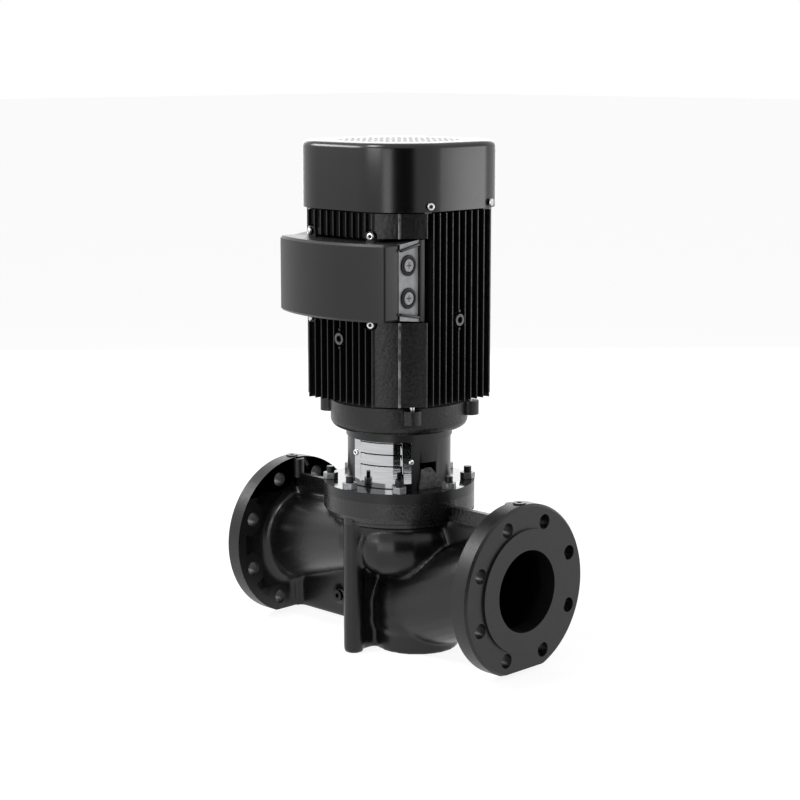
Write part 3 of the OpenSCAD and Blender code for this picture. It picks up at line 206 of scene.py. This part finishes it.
# Grained grey paint on the entry panels of the box, which gives a pale, dull face.
panel_paint = grained("grained_panel_paint", "#a2a3a5", "#b8b9bb", (0.5, 0.62),
                      grain=1.8, depth=0.1, wave=9, wave_depth=0.1)
# Polished stainless sheet: a near mirror with faint rolling lines round the shaft.
polished_sheet = grained("polished_stainless_sheet", "#aeafb1", "#bbbcbe", (0.04, 0.08), metallic=1.0,
                         grain=1.5, depth=0.004, wave=30, wave_depth=0.02, stretch=(1, 1, 12))
# Bright zinc plate on small screws: pale, slightly blue and softly mirrored.
zinc = grained("bright_zinc_plate", "#d6d8da", "#e8e9eb", (0.24, 0.36), metallic=1.0,
               grain=0.6, depth=0.01, wave=4)
# Black oxide on steel studs, plugs and nuts: dark metal with an oily sheen. It is also the painted shade
# on the floors of the screw recesses and in the plugs' cross marks.
black_oxide_and_recess_shade = grained("black_oxide_steel_and_recess_shade", "#1a1b1c", "#26272a", (0.28, 0.42), metallic=0.6,
                      grain=0.8, depth=0.02, wave=6)
# Zinc-plated nuts of the casing studs, dulled to grey.
zinc_nut = grained("dull_zinc_nut", "#77797b", "#96989a", (0.34, 0.48), metallic=0.9,
                   grain=1.5, depth=0.03, wave=5, wave_depth=0.05)
# Ground and turned steel of shafts and races.
turned_steel = grained("turned_steel", "#9a9c9f", "#b2b4b7", (0.22, 0.36), metallic=1.0,
                       grain=1.0, depth=0.01, wave=10, stretch=(1, 1, 6))
# Machined grey iron, uncoated: dull with a warm grey grain.
bare_iron = grained("machined_grey_iron", "#5c5d5e", "#707172", (0.42, 0.56), metallic=0.9,
                    grain=1.2, depth=0.04, wave=12)
# Turned bronze and brass of rings, terminals and cages.
bronze = grained("turned_bronze", "#9c7a3c", "#b8924c", (0.24, 0.38), metallic=1.0,
                 grain=0.8, depth=0.01, wave=8)
# Lapped ceramic of the fixed seal ring: off-white and dense.
ceramic = grained("lapped_ceramic", "#d2d1c8", "#dcdbd4", (0.2, 0.28), grain=1.0, depth=0.004, wave=12)
# Lapped carbon of the turning seal ring.
carbon = grained("lapped_carbon", "#161617", "#202022", (0.34, 0.44), grain=0.8, depth=0.01, wave=8)
# Pressed fibre of flat gaskets: matt olive with loose fibres.
fibre = grained("pressed_fibre", "#4b4e36", "#5d6046", (0.75, 0.9), grain=1.2, depth=0.08, wave=6)
# Moulded black rubber of seals and gaskets.
rubber = grained("moulded_rubber", "#101010", "#181818", (0.62, 0.76), grain=1.4, depth=0.03, wave=10)
# Moulded black polyamide of the fan and the entry rings.
polyamide = grained("moulded_polyamide", "#080809", "#0e0e0f", (0.42, 0.54), grain=1.4, depth=0.03,
                    wave=12, level=0.3)
# Grey polyamide of the blanking plugs.
grey_plug = grained("grey_polyamide", "#a4a5a8", "#b6b7b9", (0.42, 0.54), grain=1.4, depth=0.04, wave=8)
# Red-brown phenolic of the terminal board.
phenolic = grained("moulded_phenolic", "#4a2118", "#5c2a1e", (0.34, 0.46), grain=1.5, depth=0.02, wave=10)
# Stacked electrical sheet: fine lines across the stack.
lamination = grained("stacked_electrical_sheet", "#6d7073", "#86898c", (0.3, 0.46), metallic=0.9,
                     grain=9, depth=0.05, wave=12, stretch=(1, 1, 18))
# Varnished copper wire, brown under its lacquer.
copper = grained("varnished_copper", "#6f3418", "#96512a", (0.26, 0.4), metallic=0.8,
                 grain=1.4, depth=0.12, wave=6, coat=0.4)
# Cast aluminium of the rotor's end rings.
cast_aluminium = grained("cast_aluminium", "#a6a8aa", "#babcbe", (0.34, 0.5), metallic=1.0,
                         grain=1.6, depth=0.05, wave=10)

FINISHES = {
    "cast_iron_paint": enamel_cast, "motor_paint": enamel_motor, "cover_paint": powder_coat,
    "box_paint": satin_box, "box_base_paint": satin_box, "bronze": bronze,
    "raw_cast_iron": bare_iron, "gasket_fibre": fibre, "steel": turned_steel, "ceramic": ceramic,
    "carbon": carbon, "black_steel": black_oxide_and_recess_shade, "polished_sheet": polished_sheet,
    "zinc_screw": zinc, "lamination": lamination, "copper_winding": copper,
    "cast_aluminium": cast_aluminium, "seal_rubber": rubber, "fan_plastic": polyamide,
    "terminal_plastic": phenolic,
}
slot_of = {part["node"]: part["material_slot"] for part in frame["record"]["subparts"]}


def dress(obj, material):
    """Makes this the only material of an object."""
    obj.data.materials.clear()
    obj.data.materials.append(material)


# Two nodes have a finish of their own; the others have that of their slot
finish_of = {name: FINISHES[slot] for name, slot in slot_of.items()}
finish_of["cable_entry_plugs"] = grey_plug
finish_of["housing_nuts"] = zinc_nut
for name, node in nodes.items():
    dress(node, finish_of[name])


# ---------------------------------------------------------------- mesh helpers

SHARP = 35          # degrees above which an edge is rounded or kept crisp
SAME_PLACE = 0.002  # millimetres within which two vertices are one
FLAT = 1            # degrees below which neighbouring faces are one


def body_of(node):
    """The body that a CAD node belongs to."""
    return next(b for b, parts in frame["record"]["behaviour"]["bodies"].items() if node in parts)


def finish_piece(name, bm, material, node, sharp=SHARP):
    """Turns a bmesh into a piece that stands for a CAD node and rides on its body."""
    for face in bm.faces:
        face.smooth = True
    for edge in bm.edges:
        edge.smooth = not (len(edge.link_faces) == 2 and edge.calc_face_angle(0) > math.radians(sharp))
    mesh = bpy.data.meshes.new(name)
    bm.to_mesh(mesh)
    bm.free()
    piece = bpy.data.objects.new(name, mesh)
    bpy.context.collection.objects.link(piece)
    dress(piece, material)
    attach(piece, body_of(node))
    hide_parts(node)
    return piece


def merged(node):
    """A copy of a CAD node's mesh with its loose triangles joined."""
    bm = bmesh.new()
    bm.from_mesh(nodes[node].data)
    bmesh.ops.remove_doubles(bm, verts=bm.verts, dist=SAME_PLACE * MM)
    return bm


def flatten(bm):
    """Makes one face of the triangles that lie in one plane."""
    bmesh.ops.dissolve_limit(bm, angle_limit=math.radians(FLAT), verts=bm.verts, edges=bm.edges)


def soften(piece, width):
    """Rounds every sharp edge of a piece; width is in millimetres."""
    bevel = piece.modifiers.new("edge", "BEVEL")
    bevel.width = width * MM
    bevel.segments = 2
    bevel.limit_method = "ANGLE"
    bevel.angle_limit = math.radians(SHARP)
    bevel.miter_outer = "MITER_ARC"
    bevel.harden_normals = False
    bevel.use_clamp_overlap = True


def rounded_copy(node, width):
    """A piece that stands for a CAD node and has its sharp edges rounded."""
    bm = merged(node)
    flatten(bm)
    soften(finish_piece(node + "_piece", bm, finish_of[node], node), width)


def cut_off(bm, way, at):
    """Removes what lies below a plane; way is its normal and at its height in millimetres."""
    bmesh.ops.bisect_plane(bm, geom=bm.verts[:] + bm.edges[:] + bm.faces[:], dist=1e-7,
                           plane_co=Vector(way) * at * MM, plane_no=way, clear_inner=True)


def joined(parts):
    """One bmesh from several."""
    whole = bmesh.new()
    for part in parts:
        mesh = bpy.data.meshes.new("part")
        part.to_mesh(mesh)
        part.free()
        whole.from_mesh(mesh)
        bpy.data.meshes.remove(mesh)
    return whole


def voxel_copy(node, size, rounds):
    """The node's mesh as an even grid of faces, smoothed so that inner corners become fillets."""
    source = bpy.data.objects.new("source", nodes[node].data.copy())
    bpy.context.collection.objects.link(source)
    remesh = source.modifiers.new("remesh", "REMESH")
    remesh.mode = "VOXEL"
    remesh.voxel_size = size * MM
    bm = bmesh.new()
    bm.from_object(source, bpy.context.evaluated_depsgraph_get())
    bpy.data.objects.remove(source)
    for _ in range(rounds):
        bmesh.ops.smooth_vert(bm, verts=bm.verts, factor=0.5, use_axis_x=True, use_axis_y=True,
                              use_axis_z=True)
    return bm


# The casing: sand-cast walls with fillets in the middle, machined flanges and head around them.
# The walls reach a little way into the crisp parts, so that no seam opens. Millimetres.
FLANGE_BACK = 197.5
HEAD_FLOOR = 172
WALL_INTO_FLANGE = 5
WALL_INTO_HEAD = 6
HEAD_SHORT_OF_FLANGE = 0.5
walls = voxel_copy("pump_housing", size=2.7, rounds=5)
bmesh.ops.delete(walls, context="VERTS", geom=[
    v for v in walls.verts
    if abs(v.co.x) > (FLANGE_BACK + WALL_INTO_FLANGE) * MM or v.co.z > (HEAD_FLOOR + WALL_INTO_HEAD) * MM
])
head_end = -FLANGE_BACK - HEAD_SHORT_OF_FLANGE
crisp = []
for cuts in (
    [((1, 0, 0), FLANGE_BACK)],
    [((-1, 0, 0), FLANGE_BACK)],
    [((0, 0, 1), HEAD_FLOOR), ((1, 0, 0), head_end), ((-1, 0, 0), head_end)],
):
    part = merged("pump_housing")
    for way, at in cuts:
        cut_off(part, way, at)
    flatten(part)
    crisp.append(part)
finish_piece("casing_walls", walls, enamel_cast, "pump_housing", sharp=180)
soften(finish_piece("casing_flanges", joined(crisp), enamel_machined, "pump_housing"), 1.4)

# Pieces with rounded edges, and the width of the rounding in millimetres
for node, width in {
    "motor_stool": 1.2, "drive_end_shield": 1.6, "stator_frame": 0.5, "guard_front": 0.2,
    "guard_rear": 0.2, "terminal_box_base": 0.8, "terminal_box_cover": 0.8, "fan_cover": 0.6,
    "housing_nuts": 0.6, "housing_studs": 0.5, "shield_bolts": 0.4,
}.items():
    rounded_copy(node, width)


def dress_faces(piece, material, test):
    """Gives another material to a piece's faces whose middle and normal pass the test."""
    mesh = bpy.data.objects[piece].data
    mesh.materials.append(material)
    for face in mesh.polygons:
        if test(face.center / MM, face.normal):
            face.material_index = len(mesh.materials) - 1


def from_shaft(at):
    """Distance from the shaft axis, in the unit of the place."""
    return math.hypot(at.x, at.y)


def depth_in_fins(at):
    """How far a place lies behind the plane of the fin tips, in millimetres."""
    return FIN_TIP - max(abs(at.x), abs(at.y))


# Places on the pump, in millimetres
STOOL_TOP = 218        # top of the stool's flange
SPOUT_TOP = 246        # no spout reaches higher
SPOUT_X = 40           # the spout with the rough casting is on this side of the shaft
SPOUT_FROM = 68.3      # just outside the stool's tube
FIN_TIP = 106          # plane of the fin tips
# Painted shade: the gaps between the fins are near-black from GAP_DEPTH on.
GAP_DEPTH = 4          # from here on the gap between two fins is dark
FINNED_R = 109         # the fins are inside this radius, the frame's corners outside
RIDGE_R = 118.2        # only the ridges of the corners are outside this radius
RIDGE_HALF = 3         # and this near to the diagonal
BOSS_RISE = 1.2        # the earth bosses stand at least this far out of the fins
BOSS_R = 111           # and inside this radius
PANEL_X = 95           # outer plane of the entry panels
GRILLE_BACK = 640      # the fan cover's top is above this
GRILLE_R = 98          # the holes of the grille are inside this radius
HEAD_END_X = 187.5     # the head's faces are nearer to the shaft than this along X

# Parts of a unit normal
ALONG = 0.95           # a face looks along an axis if this much of its normal does
MOSTLY_ALONG = 0.9
UPRIGHT = 0.5          # a face stands upright if no more than this of its normal is along Z
LOOSELY_UPRIGHT = 0.6
HARDLY_LEVEL = 0.8     # the head's rim and its rounded edges, and not its flat top

dress_faces("motor_stool_piece", enamel_pooled,
            lambda at, way: way.z > ALONG and abs(at.z - STOOL_TOP) < 0.5)
dress_faces("motor_stool_piece", raw_casting, lambda at, way: (
    from_shaft(at) > SPOUT_FROM and STOOL_TOP + 0.6 < at.z < SPOUT_TOP and at.x > SPOUT_X))
dress_faces("terminal_box_base_piece", panel_paint,
            lambda at, way: abs(way.x) > ALONG and abs(at.x) > PANEL_X - 0.6)
# Painted shade deep in the gaps between the fins.
dress_faces("stator_frame_piece", painted_gap_shade, lambda at, way: (
    abs(way.z) < UPRIGHT and depth_in_fins(at) > GAP_DEPTH and from_shaft(at) < FINNED_R))
# Painted highlight on the ridges of the frame's corners.
dress_faces("stator_frame_piece", painted_ridge_highlight, lambda at, way: (
    from_shaft(at) > RIDGE_R and abs(abs(at.x) - abs(at.y)) < RIDGE_HALF))
# Painted shade in the holes of the fan cover's grille.
dress_faces("fan_cover_piece", painted_gap_shade, lambda at, way: (
    abs(way.z) < LOOSELY_UPRIGHT and at.z > GRILLE_BACK and from_shaft(at) < GRILLE_R))
dress_faces("casing_flanges", enamel_rim, lambda at, way: (
    abs(way.z) < HARDLY_LEVEL and at.z > HEAD_FLOOR and abs(at.x) < HEAD_END_X))
dress_faces("stator_frame_piece", milled_boss, lambda at, way: (
    depth_in_fins(at) < -BOSS_RISE and max(abs(way.x), abs(way.y)) > MOSTLY_ALONG
    and from_shaft(at) < BOSS_R))


def islands(bm):
    """The separate shells of a bmesh, as lists of vertices."""
    left = set(bm.verts)
    while left:
        shell, fresh = set(), [left.pop()]
        while fresh:
            vert = fresh.pop()
            shell.add(vert)
            for edge in vert.link_edges:
                other = edge.other_vert(vert)
                if other in left:
                    left.discard(other)
                    fresh.append(other)
        yield list(shell)


def spun(profile, steps=40):
    """A turned shape about +Z from radius and height pairs in millimetres."""
    bm = bmesh.new()
    ring = [bm.verts.new((r * MM, 0, z * MM)) for r, z in profile]
    edges = [bm.edges.new(pair) for pair in zip(ring, ring[1:])]
    bmesh.ops.spin(bm, geom=ring + edges, axis=(0, 0, 1), cent=(0, 0, 0), steps=steps,
                   angle=2 * math.pi, use_merge=True)
    bmesh.ops.remove_doubles(bm, verts=bm.verts, dist=1e-6)
    bmesh.ops.recalc_face_normals(bm, faces=bm.faces)
    return bm


def star(arm, width, height):
    """A flat cross about +Z, which stands for a driver recess and is painted dark as its shade."""
    bm = bmesh.new()
    points = []
    for k in range(4):
        turn = Matrix.Rotation(k * math.pi / 2, 4, "Z")
        points += [turn @ Vector((x * MM, y * MM, height * MM)) for x, y in
                   ((width, -width), (arm, -width), (arm, width))]
    bm.faces.new([bm.verts.new(p) for p in points])
    return bm


def outer_ends(node, choose=max):
    """A frame on the outer end of each shell of a CAD node, with +Z along its longest or
    shortest side."""
    source = merged(node)
    frames = []
    for shell in islands(source):
        points = [v.co for v in shell]
        middle = sum(points, Vector()) / len(points)
        flat = Vector((middle.x, middle.y, 0)).normalized()
        ways = [Vector((1, 0, 0)), Vector((0, 1, 0)), flat]
        way = choose(ways, key=lambda w: max(p.dot(w) for p in points)
                     - min(p.dot(w) for p in points))
        way = way if way.dot(flat) > 0 else -way
        top = middle + way * (max(p.dot(way) for p in points) - middle.dot(way))
        frames.append(Matrix.Translation(top) @ way.to_track_quat("Z", "Y").to_matrix().to_4x4())
    source.free()
    return frames


def repeated(base, frames):
    """One bmesh with a copy of the base at each frame."""
    parts = []
    for place in frames:
        part = base.copy()
        bmesh.ops.transform(part, matrix=place, verts=part.verts)
        parts.append(part)
    base.free()
    return joined(parts)


# Bright screws with a domed head and a hexagonal recess, whose floor is a flat disc painted dark as the
# recess's shade: radius and height of the profile, which starts at the floor of the recess
HEAD = [(2.2, -1.6), (2.3, -0.25), (2.6, 0), (3.5, -0.05), (4.2, -0.4), (4.6, -1.1), (4.6, -3)]
SMALL_HEAD = [(1.5, -1.2), (1.6, -0.2), (1.9, 0), (2.9, -0.1), (3.6, -0.6), (3.9, -1.3), (3.9, -2.2)]
for node, profile in {
    "fan_cover_screws": HEAD, "terminal_box_screws": HEAD, "guard_screws": SMALL_HEAD,
}.items():
    ends = outer_ends(node)
    finish_piece(node + "_heads", repeated(spun(profile), ends), zinc, node)
    socket_r, depth = profile[0]
    # The recess floor: a flat dark disc, painted shade.
    socket_floor_shade = spun([(0, depth + 0.1), (socket_r, depth + 0.1)], steps=6)
    finish_piece(node + "_sockets", repeated(socket_floor_shade, ends), black_oxide_and_recess_shade, node)


def panel_ribs():
    """Raised ribs over and under each entry panel, and a raised lip in the box's black paint where the
    base meets the frame, which paints the shade of that joint dark.
    """
    bm = bmesh.new()
    box_low, box_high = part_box("terminal_box_cover")
    middle = (box_low.z + box_high.z) / 2 / MM
    front, back, shade_lip = -96, -63, -54.5
    outlines = [[(front, 37.5), (back, 43.5), (back, 47), (front, 41)],
                [(back, -51), (shade_lip, -51.5), (shade_lip, 51.5), (back, 51)]]
    outlines.append([(y, -z) for y, z in outlines[0]][::-1])
    inner, outer = PANEL_X - 0.5, PANEL_X + 4.4
    for side in (-1, 1):
        for outline in outlines:
            low, high = [[bm.verts.new((side * x * MM, y * MM, (middle + z) * MM))
                          for y, z in outline] for x in (inner, outer)]
            bm.faces.new(low)
            bm.faces.new(high)
            for k in range(4):
                bm.faces.new((low[k], low[k - 1], high[k - 1], high[k]))
    bmesh.ops.recalc_face_normals(bm, faces=bm.faces)
    bmesh.ops.bevel(bm, geom=bm.edges, offset=0.9 * MM, segments=3, profile=0.5, affect="EDGES",
                    material=-1)
    return bm


# The ribs and the lip: the lip is painted shade where the base meets the frame.
finish_piece("entry_panel_ribs", panel_ribs(), satin_box, "terminal_box_base")

# Cable entries: a black lipped ring with a pale blanking plug, and on the plug a flat dark cross as the
# painted shade of its driver recess
entries = outer_ends("cable_entry_rings", min)
LIP = [(8.6, -4), (8.6, 0.2), (9.1, 0.8), (9.8, 0.8), (10.2, 0.1), (11, -0.2), (12.2, -0.2),
       (12.9, -0.8), (13, -2.5)]
PLUG = [(0, -0.6), (5, -0.6), (6.4, -0.2), (7.6, -0.3), (8.3, -1), (8.3, -4)]
finish_piece("entry_lips", repeated(spun(LIP, 48), entries), polyamide, "cable_entry_rings")
finish_piece("entry_plugs", repeated(spun(PLUG, 48), entries), grey_plug, "cable_entry_plugs")
finish_piece("entry_marks", repeated(star(arm=4, width=0.7, height=-0.5), entries), black_oxide_and_recess_shade,
             "cable_entry_plugs")


# ---------------------------------------------------------------- studio

def around(azimuth, distance, height):
    """A place around the object, in metres.

    azimuth is in degrees, 0 at the terminal box and 90 at the suction port.
    """
    turn = math.radians(azimuth)
    return Vector((distance * math.sin(turn), -distance * math.cos(turn), height))


def lamp(name, azimuth, height, distance, width, tall, level, target=0.3):
    """A soft box in metres; level is how bright its face is, where 1 is white.

    It is aimed at a point on the shaft axis, target above the floor.
    """
    data = bpy.data.lights.new(name, "AREA")
    data.shape = "RECTANGLE"
    data.size = width
    data.size_y = tall
    data.energy = level * math.pi * width * tall
    obj = bpy.data.objects.new(name, data)
    bpy.context.collection.objects.link(obj)
    obj.location = around(azimuth, distance, height)
    aim(obj, (0, 0, target))
    obj.visible_camera = False


def black_cloth(name, start, stop, near, far, top):
    """A dark cloth that only mirrors see, lying on the floor between two azimuths and hung behind."""
    bm = bmesh.new()
    steps = 24
    above_floor = 0.004
    rows = []
    for i in range(steps + 1):
        azimuth = start + (stop - start) * i / steps
        rows.append([bm.verts.new(around(azimuth, r, z)) for r, z in
                     ((near, above_floor), (far, above_floor), (far, top))])
    for a, b in zip(rows, rows[1:]):
        for k in range(2):
            bm.faces.new((a[k], b[k], b[k + 1], a[k + 1]))
    mesh = bpy.data.meshes.new(name)
    bm.to_mesh(mesh)
    bm.free()
    cloth = bpy.data.objects.new(name, mesh)
    bpy.context.collection.objects.link(cloth)
    material, tree = blank("black_cloth")
    out = add(tree, "ShaderNodeOutputMaterial")
    felt = add(tree, "ShaderNodeBsdfDiffuse", {"Color": (0.004, 0.004, 0.004, 1)})
    tree.links.new(felt.outputs[0], out.inputs["Surface"])
    dress(cloth, material)
    cloth.visible_camera = False
    cloth.visible_shadow = False
    cloth.visible_diffuse = False


def lit_for_eye(tree, seen, lit):
    """Shows one shader to the camera, to mirrors and to glass, and another to soft light."""
    path = add(tree, "ShaderNodeLightPath")
    eye = add(tree, "ShaderNodeMath", {0: path.outputs["Is Camera Ray"],
                                       1: path.outputs["Is Glossy Ray"]}, operation="MAXIMUM")
    eye = add(tree, "ShaderNodeMath", {0: eye.outputs[0],
                                       1: path.outputs["Is Transmission Ray"]}, operation="MAXIMUM")
    mix = add(tree, "ShaderNodeMixShader", {0: eye.outputs[0], 1: lit, 2: seen})
    return mix.outputs[0]


WHITE = (1, 1, 1, 1)


def make_world():
    """White for the eye and for mirrors, and a soft light all round."""
    world = bpy.data.worlds.new("studio")
    world.use_nodes = True
    bpy.context.scene.world = world
    tree = world.node_tree
    tree.nodes.clear()
    white = add(tree, "ShaderNodeBackground", {"Color": WHITE, "Strength": 1.0})
    soft = add(tree, "ShaderNodeBackground", {"Color": WHITE, "Strength": 0.3})
    out = add(tree, "ShaderNodeOutputWorld")
    tree.links.new(lit_for_eye(tree, white.outputs[0], soft.outputs[0]), out.inputs["Surface"])


FLOOR_HALF = 30            # metres from the middle of the floor to its sides
FLOOR_BELOW_FOOT = 0.0002  # metres, so that the two don't lie in one plane


def make_floor():
    """A white paper floor that keeps a faint shadow."""
    bm = bmesh.new()
    bmesh.ops.create_grid(bm, x_segments=1, y_segments=1, size=FLOOR_HALF)
    mesh = bpy.data.meshes.new("floor")
    bm.to_mesh(mesh)
    bm.free()
    floor = bpy.data.objects.new("floor", mesh)
    floor.location.z = -FLOOR_BELOW_FOOT
    bpy.context.collection.objects.link(floor)
    material, tree = blank("white_paper")
    paper = add(tree, "ShaderNodeBsdfDiffuse", {"Color": linear("#ececec")})
    faint = add(tree, "ShaderNodeBsdfDiffuse", {"Color": (0.25, 0.25, 0.25, 1)})
    glow = add(tree, "ShaderNodeEmission", {"Color": WHITE, "Strength": 0.88})
    both = add(tree, "ShaderNodeAddShader", {0: faint.outputs[0], 1: glow.outputs[0]})
    out = add(tree, "ShaderNodeOutputMaterial")
    tree.links.new(lit_for_eye(tree, both.outputs[0], paper.outputs[0]), out.inputs["Surface"])
    dress(floor, material)


place_camera()
make_world()
make_floor()
black_cloth("cloth_front", start=32, stop=74, near=1.15, far=3.2, top=2.6)
# Azimuth, height, distance, width, tall, level
lamp("front", 22, 0.6, 2.3, 0.6, 1.3, 2.6)
lamp("right", 139, 0.55, 1.1, 0.36, 0.6, 3.6, target=0.5)
lamp("rear", 226, 0.9, 2.4, 2.6, 1.6, 1.8)
lamp("top_left", -56, 1.4, 1.6, 0.7, 0.45, 15.0, target=0.1)
lamp("top_front", -22, 1.7, 0.85, 0.4, 0.4, 24.0, target=0.1)
lamp("fill_front", -5, 1.15, 1.8, 0.9, 0.4, 6.0, target=0.1)
bpy.context.scene.view_settings.view_transform = "Standard"
